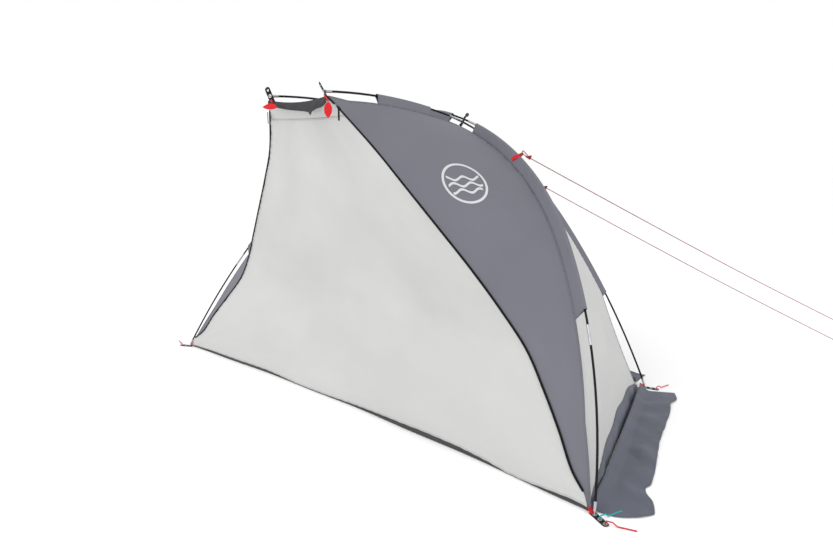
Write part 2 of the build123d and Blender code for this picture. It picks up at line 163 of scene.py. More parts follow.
def arc_chain(origin, x_dir, normal, start, heading, arcs):
    """Arcs that follow each other smoothly and all turn clockwise in their plane, each given by
    its radius and its degrees."""
    y_dir = np.cross(normal, x_dir)
    at, angle, flat = np.array(start, float), math.radians(heading), [np.array(start, float)]
    for radius, degrees in arcs:
        centre = at + radius * np.array([math.sin(angle), -math.cos(angle)])
        for t in np.linspace(0, math.radians(degrees), 160)[1:]:
            flat.append(centre + radius * np.array([-math.sin(angle - t), math.cos(angle - t)]))
        at, angle = flat[-1], angle - math.radians(degrees)
    return Line([np.array(origin) + p[0] * np.array(x_dir) + p[1] * y_dir for p in flat])


def between(a, b, t, low, high):
    return ((high - t) * a + (t - low) * b) / (high - low)


def smooth(points, count=400):
    """A line through a few points, by centripetal Catmull-Rom arcs."""
    p = np.asarray(points, float)
    p = np.vstack([2 * p[0] - p[1], p, 2 * p[-1] - p[-2]])
    made = []
    for i in range(1, len(p) - 2):
        q = p[i - 1 : i + 3]
        k = np.concatenate([[0], np.cumsum(np.linalg.norm(np.diff(q, axis=0), axis=1) ** 0.5)])
        for t in np.linspace(k[1], k[2], max(count // len(points), 6), endpoint=False):
            ab, bc, cd = (between(q[j], q[j + 1], t, k[j], k[j + 1]) for j in range(3))
            abc, bcd = between(ab, bc, t, k[0], k[2]), between(bc, cd, t, k[1], k[3])
            made.append(between(abc, bcd, t, k[1], k[2]))
    made.append(p[-2])
    return Line(made)


ARCH_NORMAL = np.array([0, -math.cos(ARCH_LEAN), math.sin(ARCH_LEAN)])
BOW_NORMAL = np.array([math.cos(BOW_LEAN), 0, math.sin(BOW_LEAN)])
ARCH = arc_chain(
    (0, FRONT, 0), (1, 0, 0), ARCH_NORMAL, (0, 1.682), 0,
    [(0.480, 15.5), (1.477, 42.2), (2.740, 23.15)],
)
BOW = arc_chain(
    (1.180, FRONT, 0), (0, 1, 0), BOW_NORMAL, (-0.138, 1.806), 4.4,
    [(2.490, 18.2), (0.902, 65.4), (1.877, 32.05)],
)
ZIP = smooth([
    (1.322, FRONT + 0.016, 0.062), (1.260, FRONT + 0.044, 0.115), (1.182, FRONT + 0.085, 0.233),
    (1.090, FRONT + 0.132, 0.354), (0.988, FRONT + 0.172, 0.484), (0.869, FRONT + 0.160, 0.633),
    (0.748, FRONT + 0.122, 0.790), (0.617, FRONT + 0.077, 0.949), (0.485, FRONT + 0.031, 1.108),
    (0.355, FRONT - 0.020, 1.269), (0.213, FRONT - 0.112, 1.456),
])


def inward(line, normal, share):
    return np.cross(line.way(share), normal)


def gap_at(from_end, least, taper):
    """The gap from a pole to the canopy's seam, which grows from its least at the pole's end."""
    return np.minimum(SLEEVE, least + (SLEEVE - least) * from_end / taper)


def arch_gap(share):
    return gap_at((1 - np.abs(share)) * ARCH.length, FOOT_GAP, TAPER)


def bow_gap(share):
    return gap_at(share * BOW.length, TIP_GAP, TIP_TAPER)


def arch_pole(share):
    """The arch pole's centre line, share 0 at its top, 1 at its right foot and -1 at its left."""
    share = np.asarray(share, float)
    found = ARCH.at(np.abs(share))
    return np.where((share < 0)[..., None], found * FLIP, found)


def arch_inward(share):
    share = np.asarray(share, float)
    found = inward(ARCH, ARCH_NORMAL, np.abs(share))
    return np.where((share < 0)[..., None], found * FLIP, found)


def arch_seam(share, extra=0.0):
    """The canopy's seam under the arch."""
    return arch_pole(share) + arch_inward(share) * (arch_gap(share) + extra)[..., None]


def bow_seam(share, extra=0.0):
    """The canopy's seam under the right side bow, share 0 at its front tip and 1 at its foot.
    Below the rear sleeve its edge is free and runs nearly straight down to the corner."""
    share = np.asarray(share, float)[..., None]
    way_in = inward(BOW, BOW_NORMAL, share[..., 0])
    sewn = BOW.at(share[..., 0]) + way_in * (bow_gap(share) + extra)
    start = BOW.at(BOW_SLEEVE_END) + inward(BOW, BOW_NORMAL, BOW_SLEEVE_END) * SLEEVE
    drop = np.clip((share - BOW_SLEEVE_END) / (1 - BOW_SLEEVE_END), 0, 1)
    free = start + (REAR_CORNER - start) * drop + way_in * (extra + 0.07 * drop * (1 - drop))
    return np.where(share > BOW_SLEEVE_END, free, sewn)


# ---- cords ----
CORD = 0.004
ROUTE_STEPS = 40
GUY_ARCH_ROUTE = [
    (0.652, 0.082, 1.2495), (1.140, 0.846, 0.825), (1.627, 1.610, 0.412), (2.110, 2.365, 0.024)
]
GUY_BOW_ROUTE = [
    (0.4665, 0.6496, 1.0698), (0.990, 1.101, 0.708), (1.513, 1.551, 0.358), (2.036, 2.000, 0.024)
]


def nurbs_points(route):
    """Points along the smooth NURBS line of a cord's route."""
    data = bpy.data.curves.new("route", "CURVE")
    data.dimensions = "3D"
    data.resolution_u = ROUTE_STEPS
    spline = data.splines.new("NURBS")
    spline.points.add(len(route) - 1)
    for point, place in zip(spline.points, route):
        point.co = (*place, 1)
    spline.order_u = 3
    spline.use_endpoint_u = True
    curve = bpy.data.objects.new("route", data)
    scene.collection.objects.link(curve)
    bpy.context.view_layer.update()
    mesh = bpy.data.meshes.new_from_object(curve)
    found = np.array([v.co for v in mesh.vertices])
    bpy.data.objects.remove(curve)
    return found


ROPE_PATHS = {"arch": nurbs_points(GUY_ARCH_ROUTE), "bow": nurbs_points(GUY_BOW_ROUTE)}

# ---- materials ----
def link(value, socket):
    """Feeds a socket from another one, or gives it a number or a colour."""
    if isinstance(value, tuple):
        socket.default_value = (*value, 1)
    elif isinstance(value, (int, float)):
        socket.default_value = value
    else:
        socket.id_data.links.new(value, socket)


def node(tree, kind, **values):
    """A new node. Values whose names are sockets are set on them, and the others on the node."""
    made = tree.nodes.new(kind)
    for key, value in values.items():
        if hasattr(made, key):
            setattr(made, key, value)
        else:
            made.inputs[key.replace("_", " ")].default_value = value
    return made


def maths(kind, a, b=None):
    """The result of a math node on a socket and perhaps a second socket or a number."""
    made = node(a.id_data, "ShaderNodeMath", operation=kind)
    link(a, made.inputs[0])
    if b is not None:
        link(b, made.inputs[1])
    return made.outputs[0]


def times(a, b):
    return maths("MULTIPLY", a, b)


def mixed(share, first, second, strength=None):
    """A colour between two colours, each a socket or three numbers, by a share times a strength."""
    made = node(share.id_data, "ShaderNodeMix", data_type="RGBA")
    share = share if strength is None else times(share, strength)
    for i, value in ((0, share), (6, first), (7, second)):
        link(value, made.inputs[i])
    return made.outputs[2]


def noise(vector, scale, detail=2.0):
    made = node(vector.id_data, "ShaderNodeTexNoise", Scale=scale, Detail=detail)
    link(vector, made.inputs["Vector"])
    return made.outputs["Fac"]


def stretched(value, low, high):
    """A value's range from low to high, opened to 0 to 1."""
    made = node(value.id_data, "ShaderNodeMapRange", From_Min=low, From_Max=high)
    link(value, made.inputs["Value"])
    return made.outputs["Result"]


def surface(bsdf, shade, height, strength, depth, rough=None, sheen=0.0, gloss=0.5):
    """Gives a shader its colour, bump, sheen and gloss, and perhaps an uneven roughness."""
    link(shade, bsdf.inputs["Base Color"])
    if rough is not None:
        link(rough, bsdf.inputs["Roughness"])
    bump = node(bsdf.id_data, "ShaderNodeBump", Strength=strength, Distance=depth)
    link(height, bump.inputs["Height"])
    link(bump.outputs["Normal"], bsdf.inputs["Normal"])
    link(sheen, bsdf.inputs["Sheen Weight"])
    link(gloss, bsdf.inputs["Specular IOR Level"])


WAVE_PERIOD = 0.314  # of a wave texture at scale 1
THREAD = 0.0011
SLUBS = 0.05
STITCH_INSET, STITCH_HALF, STITCH_DIP = 0.007, 0.0006, 0.0018
STITCHES, STITCH_SHARE = 280.0, 0.68  # to the metre, and the share of each that is thread
HEM = 0.012


def cloth(name, colour, roughness=0.72, sheen=0.12, gloss=0.5, stitch=None):
    """Plain-woven cloth. Its first UV map is in metres along the weave, and its second holds the
    distance from the nearest sewn edge and the distance along it, where stitches are drawn."""
    made, tree, bsdf = shader(name, colour, roughness)
    uv = node(tree, "ShaderNodeUVMap", uv_map="weave").outputs[0]
    threads = []
    for direction in ("X", "Y"):
        wave = node(
            tree, "ShaderNodeTexWave", bands_direction=direction, Scale=WAVE_PERIOD / THREAD,
            Distortion=0.6, Detail=1.0, Detail_Scale=0.4,
        )
        link(uv, wave.inputs["Vector"])
        threads.append(wave.outputs["Fac"])
    weave = times(*threads)
    broad = noise(uv, 2.3, 3.0)
    fine = noise(uv, 310.0, 2.0)
    dark = tuple(c * (1 - 1.5 * SLUBS) for c in colour)
    pale = tuple(min(c * (1 + 1.5 * SLUBS), 1) for c in colour)
    shade = mixed(stretched(broad, 0.25, 0.75), dark, pale)
    shade = mixed(weave, shade, dark, 0.16)
    shade = mixed(fine, shade, dark, 0.25)
    height = maths("ADD", weave, times(fine, 0.5))
    if stitch is not None:
        edge = node(tree, "ShaderNodeUVMap", uv_map="edge").outputs[0]
        split = node(tree, "ShaderNodeSeparateXYZ")
        link(edge, split.inputs[0])
        inset = maths("SUBTRACT", split.outputs[0], STITCH_INSET)
        near = maths("ABSOLUTE", inset)
        row = maths("LESS_THAN", near, STITCH_HALF)
        beat = maths("FRACT", times(split.outputs[1], STITCHES))
        dash = times(row, maths("LESS_THAN", beat, STITCH_SHARE))
        dip = maths("LESS_THAN", near, STITCH_DIP)
        hem = maths("LESS_THAN", split.outputs[0], HEM)
        shade = mixed(hem, shade, dark, 0.10)
        shade = mixed(dash, shade, stitch, 0.85)
        height = maths("SUBTRACT", height, times(dip, 1.2))
        height = maths("ADD", height, times(dash, 2.0))
    rough = maths("ADD", times(fine, 0.12), roughness - 0.06)
    surface(bsdf, shade, height, 0.35, 0.0003, rough, sheen, gloss)
    return made


def moulded(name, colour, roughness, scale, depth, metallic=0.0, wear=None, gloss=0.5):
    """A hard surface with a fine grain, and a second colour where it is worn or scuffed."""
    made, tree, bsdf = shader(name, colour, roughness, metallic)
    place = node(tree, "ShaderNodeTexCoord").outputs["Object"]
    grain = noise(place, scale, 3.0)
    marks = stretched(noise(place, 38.0, 4.0), 0.52, 0.72)
    shade = mixed(grain, colour, tuple(c * 0.75 for c in colour), 0.3)
    shade = mixed(marks, shade, wear or tuple(c * 0.8 for c in colour), 0.35)
    rough = maths("ADD", times(marks, 0.18), roughness - 0.05)
    surface(bsdf, shade, grain, 0.3, depth, rough, gloss=gloss)
    return made


def webbing(name, colour):
    """Narrow woven tape with ribs across it and a plain edge: UV x along it, y across, metres."""
    made, tree, bsdf = shader(name, colour, 0.78)
    uv = node(tree, "ShaderNodeUVMap", uv_map="weave").outputs[0]
    split = node(tree, "ShaderNodeSeparateXYZ")
    link(uv, split.inputs[0])
    lengthways = maths("SINE", times(split.outputs[0], 3600.0))
    slanted = times(maths("PINGPONG", split.outputs[1], 0.0016), 3600.0)
    zigzag = maths("ADD", times(split.outputs[0], 2600.0), slanted)
    twill = maths("SINE", zigzag)
    fine = noise(uv, 900.0, 2.0)
    light = tuple(min(c * 1.5 + 0.004, 1) for c in colour)
    shade = mixed(stretched(twill, -1.0, 1.0), colour, light, 0.5)
    shade = mixed(fine, shade, colour, 0.4)
    height = maths("ADD", twill, times(lengthways, 0.5))
    surface(bsdf, shade, height, 0.5, 0.0004, sheen=0.05, gloss=0.25)
    return made


def braid(name, colour, fleck):
    """Braided cord with dark flecks, drawn in object space."""
    made, tree, bsdf = shader(name, colour, 0.7)
    place = node(tree, "ShaderNodeTexCoord").outputs["Object"]
    cells = node(tree, "ShaderNodeTexVoronoi", Scale=420.0)
    link(place, cells.inputs["Vector"])
    flecks = stretched(noise(place, 130.0, 2.0), 0.46, 0.54)
    shade = mixed(flecks, colour, fleck)
    shade = mixed(cells.outputs["Distance"], shade, fleck, 0.5)
    surface(bsdf, shade, cells.outputs["Distance"], 0.6, 0.0004)
    return made


CLOTH_LIGHT = cloth("cloth_light", (0.535, 0.536, 0.530), stitch=(0.36, 0.36, 0.36))
CLOTH_DARK = cloth(
    "cloth_dark", (0.169, 0.169, 0.199), sheen=0.03, gloss=0.2, stitch=(0.085, 0.085, 0.10)
)
# Painted shade: the canopy's dark cloth made darker still, for the strip that hangs in the shade
# under the roof's front edge.
CLOTH_PAINTED_SHADE = cloth(
    "cloth_painted_shade", (0.044, 0.044, 0.048), sheen=0.02, gloss=0.2, stitch=(0.02, 0.02, 0.02)
)
# Painted shade: the groundsheet's slate cloth made darker and greyer, for its turned-up front edge.
CLOTH_SHADED_HEM = cloth(
    "cloth_shaded_hem", (0.068, 0.068, 0.070), sheen=0.02, gloss=0.2, stitch=(0.03, 0.03, 0.03)
)
CLOTH_SLATE = cloth("cloth_slate", (0.086, 0.096, 0.128), 0.66, stitch=(0.030, 0.034, 0.05))
PRINT_PALE = cloth("print_pale", (0.62, 0.63, 0.64), sheen=0.0)
WEB_BLACK = webbing("webbing_black", (0.005, 0.005, 0.006))
WEB_RED = webbing("webbing_red", (0.60, 0.014, 0.018))
POLE_BLACK = moulded("pole_black", (0.004, 0.004, 0.005), 0.50, 900.0, 0.00004, gloss=0.2)
STEEL = moulded("steel", (0.50, 0.51, 0.53), 0.34, 700.0, 0.00003, 1.0, (0.34, 0.34, 0.35))
ZIP_BLACK = moulded("zip_black", (0.005, 0.005, 0.006), 0.55, 1500.0, 0.00008, gloss=0.2)
PLASTIC_GREY = moulded("plastic_grey", (0.022, 0.023, 0.026), 0.46, 800.0, 0.00006, gloss=0.3)
PLASTIC_RED = moulded("plastic_red", (0.22, 0.010, 0.020), 0.40, 800.0, 0.00006, gloss=0.35)
PEG_RED = moulded("peg_red", (0.60, 0.020, 0.045), 0.32, 500.0, 0.00005, gloss=0.4)
PEG_TEAL = moulded("peg_teal", (0.006, 0.40, 0.42), 0.32, 500.0, 0.00005, gloss=0.4)
ELASTIC = braid("elastic", (0.03, 0.03, 0.03), (0.08, 0.08, 0.08))
CORD_RED = braid("cord_red", (0.60, 0.012, 0.022), (0.05, 0.010, 0.015))


# ---- mesh helpers ----
def grid_object(name, grid, weave, edge=None, wrap=False, keep=None):
    """A mesh over a grid of points, with UV maps from grids of pairs in metres. Keep tells which
    of its faces are made."""
    rows, cols = grid.shape[:2]
    count = cols if wrap else cols - 1
    i, j = np.meshgrid(np.arange(rows - 1), np.arange(count), indexing="ij")
    k = (j + 1) % cols
    faces = np.stack([i * cols + j, (i + 1) * cols + j, (i + 1) * cols + k, i * cols + k], -1)
    wide = count + 1
    spots = np.stack([
        i * wide + j, (i + 1) * wide + j, (i + 1) * wide + j + 1, i * wide + j + 1
    ], -1)
    if keep is not None:
        faces, spots = faces[keep], spots[keep]
    spots = spots.ravel()
    made = mesh_object(name, grid.reshape(-1, 3), faces.reshape(-1, 4).tolist(), True)
    for title, pairs in (("weave", weave), ("edge", edge)):
        if pairs is not None:
            layer = made.data.uv_layers.new(name=title)
            layer.data.foreach_set("uv", pairs.reshape(-1, 2)[spots].astype(np.float32).ravel())
    return made


def spacing(grid, axis):
    """Distances along one axis of a grid, averaged over the other, from 0."""
    steps = np.linalg.norm(np.diff(grid, axis=axis), axis=-1)
    return np.concatenate([[0], np.cumsum(steps.mean(axis=1 - axis))])


def normals(grid, towards):
    """Unit normals of a grid, on the side that its middle shows to a direction."""
    found = unit(np.cross(np.gradient(grid, axis=0), np.gradient(grid, axis=1)) + 1e-12)
    middle = found[grid.shape[0] // 2, grid.shape[1] // 2]
    return found if middle @ np.asarray(towards, float) > 0 else -found


def metres_uv(grid):
    return np.stack(np.meshgrid(spacing(grid, 1), spacing(grid, 0)), -1)


def running(grid, axis):
    """Distance of each point of a grid from its first one along an axis."""
    steps = np.linalg.norm(np.diff(grid, axis=axis), axis=-1)
    return np.insert(np.cumsum(steps, axis=axis), 0, 0, axis=axis)


def edge_uv(grid):
    """Distance from the nearest border of a grid, and the distance along that border."""
    u, v = np.meshgrid(spacing(grid, 1), spacing(grid, 0))
    left, low = running(grid, 1), running(grid, 0)
    sides = np.stack([left, left[:, -1:] - left, low, low[-1:] - low])
    return np.stack([sides.min(axis=0), np.where(sides.argmin(axis=0) < 2, v, u)], -1)


def patch(bottom, top, left, right):
    """A smooth sheet inside four border lines, each a list of points; rows run from the bottom."""
    v = np.linspace(0, 1, len(left))[:, None, None]
    u = np.linspace(0, 1, len(bottom))[None, :, None]
    bottom, top = np.asarray(bottom)[None], np.asarray(top)[None]
    left, right = np.asarray(left)[:, None], np.asarray(right)[:, None]
    ruled = (1 - v) * bottom + v * top + (1 - u) * left + u * right
    corners = (1 - v) * ((1 - u) * bottom[:, :1] + u * bottom[:, -1:])
    corners = corners + v * ((1 - u) * top[:, :1] + u * top[:, -1:])
    return ruled - corners


def straight(a, b, count):
    t = np.linspace(0, 1, count)[:, None]
    return np.asarray(a) * (1 - t) + np.asarray(b) * t


def ripples(pairs, seed, length, count=14):
    """Smooth irregular waves of about that length over UV positions, from -1 to 1."""
    draw = np.random.default_rng(seed)
    total = np.zeros(pairs.shape[:-1])
    for _ in range(count):
        angle, phase = draw.uniform(0, 2 * math.pi, 2)
        k = 2 * math.pi / (length * draw.uniform(0.7, 1.6))
        wave = pairs[..., 0] * math.cos(angle) + pairs[..., 1] * math.sin(angle)
        total += np.sin(k * wave + phase)
    return total / math.sqrt(count) / 1.5


def crease(grid, start, end, width, depth):
    """Height of a fold from start to end: a ridge with a shallow trough along one side."""
    a, b = np.asarray(start, float), np.asarray(end, float)
    run = b - a
    t = np.clip(((grid - a) @ run) / (run @ run), 0, 1)
    aside = grid - (a + t[..., None] * run)
    off = np.linalg.norm(aside, axis=-1) / width
    side = np.sign(aside[..., 2] + 0.3 * aside[..., 0])
    ridge = np.exp(-(off**2)) - 0.5 * np.exp(-((off * side - 1.5) ** 2))
    return depth * ridge * np.sin(math.pi * np.clip(t * 0.9 + 0.08, 0, 1)) ** 0.8


def creases(grid, lines):
    """The height of several folds, each with its start, end, width and depth."""
    return sum(crease(grid, *line) for line in lines)


def pucker(grid, amount, reach, pitch, seed):
    """Little ripples across the sewn borders of a sheet."""
    edge = edge_uv(grid)
    wave = np.sin(2 * math.pi * edge[..., 1] / pitch + 2.5 * ripples(edge, seed, 0.30))
    return amount * np.exp(-((edge[..., 0] / reach) ** 1.3)) * wave


def inside(grid, reach):
    """0 at the borders of a grid and 1 further in than reach."""
    return np.clip(edge_uv(grid)[..., 0] / reach, 0, 1) ** 1.5


def slack(grid, depth, reach, length, seeds, pitch=0.024, amount=0.001, border=0.02):
    """Broad waves inside a sheet, and puckers along its borders."""
    waves = depth * inside(grid, reach) * ripples(metres_uv(grid), seeds[0], length)
    return waves + pucker(grid, amount, border, pitch, seeds[1])


def mirrored(grid):
    return grid[:, ::-1] * FLIP


def dress(made, material, replaced=(), thickness=0.0, body="shelter", slot=None):
    """Gives a piece its material and, for a thin one, its thickness, joins it to its body and hides
    the parts it replaces.
    A body is its name, or for cloth that bends between two bodies, both names and where the bend
    starts and ends;
    such a piece is only fixed in place and joined to no body. The slot argument is not used."""
    made.data.materials.append(material)
    if thickness:
        thick = made.modifiers.new("thickness", "SOLIDIFY")
        thick.thickness = thickness
        thick.offset = 0
    if isinstance(body, str):
        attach(made, body)
    else:
        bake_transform(made)
    if replaced:
        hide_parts(*replaced)
    return made


CLOTH_THICKNESS, WEB_THICKNESS = 0.0006, 0.0016


def sheet(name, grid, material, flat, area=None, replaced=(), held="stretched", rests_on=(),
          weave=None, edge=None, **more):
    """A cloth piece over a grid. The size it was cut to is given but not used."""
    made = grid_object(
        name, grid, metres_uv(grid) if weave is None else weave,
        edge_uv(grid) if edge is None else edge,
    )
    dress(made, material, replaced, CLOTH_THICKNESS, **more)
    return made


def tube_grid(points, radius, sides=10, squash=1.0):
    """Rings round a line. Radius is one number or one for each point."""
    p = np.asarray(points, float)
    way = unit(np.gradient(p, axis=0))
    side = np.cross(way[0], [0.13, 0.21, 0.97])
    frames = []
    for w in way:
        side = square_to(w, side)
        frames.append((side, np.cross(w, side)))
    frames = np.array(frames)
    angle = np.linspace(0, 2 * math.pi, sides, endpoint=False)
    radius = np.broadcast_to(np.asarray(radius, float), (len(p),))
    ring = frames[:, 0, None] * np.cos(angle)[None, :, None] * squash
    ring = ring + frames[:, 1, None] * np.sin(angle)[None, :, None]
    return p[:, None] + ring * radius[:, None, None]


# A bar's rounded end: distances from its tip and radii, as shares of the bar's radius.
CAP_STEPS, CAP_RADII = np.array([[0], [0.1], [0.45]]), np.array([0.02, 0.5, 0.88])


def tube(name, points, radius, sides=10, squash=1.0, rounded=True):
    """A round bar along a line, with UVs in metres along and around it."""
    p = np.asarray(points, float)
    radius = np.broadcast_to(np.asarray(radius, float), (len(p),)).copy()
    if rounded:
        first, last = unit(p[1] - p[0]) * radius[0], unit(p[-1] - p[-2]) * radius[-1]
        p = np.concatenate([
            p[0] + first * CAP_STEPS, p[1:-1], p[-1] - last * CAP_STEPS[::-1]
        ])
        radius = np.concatenate([
            radius[0] * CAP_RADII, radius[1:-1], radius[-1] * CAP_RADII[::-1]
        ])
    grid = tube_grid(p, radius, sides, squash)
    along = Line(p).shares * Line(p).length
    around = np.linspace(0, 2 * math.pi * radius.max(), sides + 1)
    weave = np.stack(np.meshgrid(around, along), -1)[..., ::-1]
    return grid_object(name, grid, weave, None, wrap=True)


def resampled(grid, low, high, rows):
    """The part of a grid between two heights given per column as shares of its rows."""
    t = np.linspace(0, 1, rows)[:, None]
    place = (low[None] * (1 - t) + high[None] * t) * (len(grid) - 1)
    under = np.clip(place.astype(int), 0, len(grid) - 2)
    rest = (place - under)[..., None]
    cols = np.arange(grid.shape[1])[None]
    return grid[under, cols] * (1 - rest) + grid[under + 1, cols] * rest


# ---- canopy and walls ----
def both_sides(name, grid, out, height, *facts, replaced):
    """A sheet of the right side, and its mirror image on the left."""
    shaped = grid + out * height[..., None]
    for word, side_grid in (("right", shaped), ("left", mirrored(shaped))):
        sheet(f"{name}_{word}", side_grid, *facts, [f"{replaced}_{word}"])


CORNER = np.array([1.346, FRONT + 0.008, 0.012])
ROOF_CORNER = np.array([0.192, -0.737, 1.484])
DOOR_SAG = (0, 0.006, -0.006)
EDGE = smooth([CORNER, *ZIP.at(np.linspace(0, 1, 40)), ROOF_CORNER], 1200)


def edge_share(height):
    """The share of the canopy's front edge at a height."""
    return np.interp(height, EDGE.points[:, 2], EDGE.shares)


def hanging(right, sag, count):
    """A slightly slack line to a point on the right from its mirror image."""
    t = np.linspace(-1, 1, count)[:, None]
    return straight(right * FLIP, right, count) + (1 - t**2) * np.array(sag)


def side_panel_grid(rows=150, cols=76):
    front = EDGE.at(np.linspace(0.0, 1.0, rows))
    back = arch_seam(np.linspace(0.992, HUB, rows))
    top = bow_seam(np.linspace(0.002, HUB_BOW, cols))
    t = np.linspace(0, 1, cols)[:, None]
    top = top + t**3 * (back[-1] - top[-1]) + (1 - t) ** 8 * (front[-1] - top[0])
    return patch(straight(front[0], back[0], cols), top, front, back)


panel = side_panel_grid()
hollow = slack(panel, 0.003, 0.20, 0.55, (3, 5), pitch=0.021) + creases(panel, (
    (arch_seam(0.20), arch_seam(0.28, 0.16) + (0, -0.10, 0), 0.018, 0.004),
    (arch_seam(0.30), arch_seam(0.40, 0.14) + (0, -0.06, 0), 0.016, 0.005),
    (arch_seam(0.34), arch_seam(0.50, 0.05), 0.014, 0.004),
))
panel_out = normals(panel, (1, -0.3, 0.4))
both_sides(
    "canopy_side", panel, panel_out, hollow, CLOTH_DARK, (1.16, 2.17), 0.81, replaced="side_panel"
)


def whole_wall(rows=150, cols=64):
    """The side wall from the ground to the hub, the band along its foot included."""
    front = arch_seam(np.linspace(0.996, HUB + 0.003, rows))
    back_line = bow_seam(np.linspace(0.996, HUB_BOW + 0.003, rows))
    bottom = straight(front[0], back_line[0], cols)
    bottom[:, 2] = 0.004
    return patch(bottom, straight(front[-1], back_line[-1], cols), front, back_line)


def foot_band(whole, top, towards, seed, rows=14):
    """The band along a wall's foot up to a line: its grid, its way out and how far it bulges."""
    band = resampled(whole, np.zeros_like(top), top + BAND_OVERLAP, rows)
    bulge = 0.006 * np.sin(math.pi * np.linspace(0, 1, rows))[:, None]
    bulge = bulge * (1 + 0.8 * ripples(metres_uv(band), seed, 0.16))
    return band, normals(band, towards), bulge + BAND_LIFT


BAND_OVERLAP, BAND_LIFT = 0.004, 0.0012
WALL_OUT, REAR_OUT = (1, 0.2, 0.3), (0, 1, 0.3)
wall = whole_wall()
t = np.linspace(0, 1, wall.shape[1])
band_top = 0.008 + 0.030 * np.sin(math.pi * t) ** 0.6 + 0.003 * np.sin(23 * t + 1.0)
light = resampled(wall, band_top, np.ones_like(t), 140)
folds = slack(light, 0.0035, 0.12, 0.33, (8, 9))
for start, end, width, depth in (
    (0.78, 0.93, 0.010, 0.0030), (0.72, 0.90, 0.014, 0.0026), (0.83, 0.96, 0.008, 0.0024),
    (0.62, 0.80, 0.016, 0.0030),
):
    shift = np.array([-0.02, 0.10, 0.0]) * (1.0 - start) * 4
    folds += crease(light, arch_seam(start) + shift, arch_seam(end) + shift * 0.3, width, depth)
both_sides(
    "wall", light, normals(light, WALL_OUT), folds, CLOTH_LIGHT, (1.2, 1.9), 1.32,
    replaced="side_wall",
)
both_sides(
    "foot_band_cloth", *foot_band(wall, band_top, WALL_OUT, 41), CLOTH_SLATE, (1.22, 0.065), None,
    replaced="foot_band",
)


def hub_line(target, cols):
    """The seam over the top between the two hubs, its ends moved to the side bows' seams."""
    t = np.linspace(-1, 1, cols)[:, None]
    line = arch_seam(np.linspace(-HUB, HUB, cols))
    shift = (target - line[-1]) * np.abs(t) ** 3
    return line + shift * np.concatenate([np.sign(t), np.ones_like(t), np.ones_like(t)], 1)


def whole_rear(rows=150, cols=110):
    right = bow_seam(np.linspace(0.996, HUB_BOW, rows))
    left = right * FLIP
    bottom = straight(left[0], right[0], cols)
    bottom[:, 2] = 0.004
    return patch(bottom, hub_line(right[-1], cols), left, right)


rear = whole_rear()
t = np.linspace(0, 1, rear.shape[1])
low = 0.012 + 0.030 * np.sin(math.pi * t) ** 0.35 + 0.002 * np.sin(31 * t)
upper = resampled(rear, low, np.ones_like(t), 140)
folds = slack(upper, 0.005, 0.2, 0.5, (12, 13))
sheet(
    "canopy_rear", upper + normals(upper, REAR_OUT) * folds[..., None], CLOTH_DARK, (2.25, 1.75),
    2.08, ["rear_wall"],
)
band, out, bulge = foot_band(rear, low, REAR_OUT, 43)
sheet(
    "foot_band_rear_cloth", band + out * bulge[..., None], CLOTH_SLATE, (2.36, 0.072), None,
    ["foot_band_rear"],
)


def roof_edge(cols):
    return hanging(ROOF_CORNER, (0, 0.010, -0.016), cols)


def roof_grid(rows=80, cols=50):
    right = bow_seam(np.linspace(0.002, HUB_BOW, rows))
    t = np.linspace(1, 0, rows)[:, None] ** 4
    right = right + t * (ROOF_CORNER - right[0])
    return patch(roof_edge(cols), hub_line(right[-1], cols), right * FLIP, right)


roof = roof_grid()
folds = slack(roof, 0.004, 0.1, 0.3, (21, 22))
sheet(
    "canopy_roof", roof + normals(roof, (0, 0, 1)) * folds[..., None], CLOTH_DARK, (0.54, 0.94),
    0.41, ["roof_panel"],
)

# The strip that hangs from the roof's front edge, with its scalloped border. Its cloth is darkened
# with painted shade.
cols = 90
t = np.linspace(0, 1, cols)
drop = np.interp(
    t, [0, 0.08, 0.25, 0.5, 0.62, 0.69, 0.715, 0.735, 0.755, 0.82, 0.90, 0.96, 1.0],
    [0.022, 0.024, 0.029, 0.036, 0.041, 0.047, 0.056, 0.062, 0.048, 0.040, 0.040, 0.036, 0.028],
)
top = roof_edge(cols) + np.array([0, -0.0015, 0.0015])
fall = np.linspace(0, 1, 16)[:, None, None]
valance = top[None] + fall * drop[None, :, None] * np.array([0, -0.16, -1.0])
billow = 0.003 * np.sin(math.pi * fall[..., 0])
valance[..., 1] -= billow * (1 + ripples(metres_uv(valance), 51, 0.06))
# The valance's cloth carries painted shade: it is the canopy's dark cloth, drawn darker.
sheet(
    "valance", valance, CLOTH_PAINTED_SHADE, (0.39, 0.05), 0.0158, ["front_valance"], "hung",
    ["canopy_roof"], slot="cloth_dark",
)

# The pale strip behind it, which hangs down behind the door's top edge.
rise = np.linspace(0, 1, 14)[:, None, None]
foot = hanging(EDGE.at(edge_share(1.396)), DOOR_SAG, 60) + np.array([0, 0.0045, 0])
header = roof_edge(60) * rise + foot * (1 - rise) + np.array([0, -0.0002, -0.001])
sheet("door_header", header, CLOTH_LIGHT, (0.52, 0.105), 0.046, held="hung")


# ---- door ----
def band_height(x):
    """Height of the groundsheet's turned-up front edge."""
    return np.interp(
        x, [-1.34, -1.1, -0.6, -0.35, -0.1, 0.10, 0.36, 0.55, 0.75, 0.90, 1.0, 1.08, 1.17, 1.28,
            1.35],
        [0.014, 0.020, 0.020, 0.009, 0.010, 0.016, 0.025, 0.030, 0.027, 0.018, 0.007, 0.008,
         0.016, 0.025, 0.016],
    )


def front_edge(x):
    """The y of the front edge, which is pulled back most in its middle."""
    return FRONT + 0.010 + 0.050 * (1 - (x / 1.36) ** 2) + 0.003 * np.sin(9 * x + 0.5)


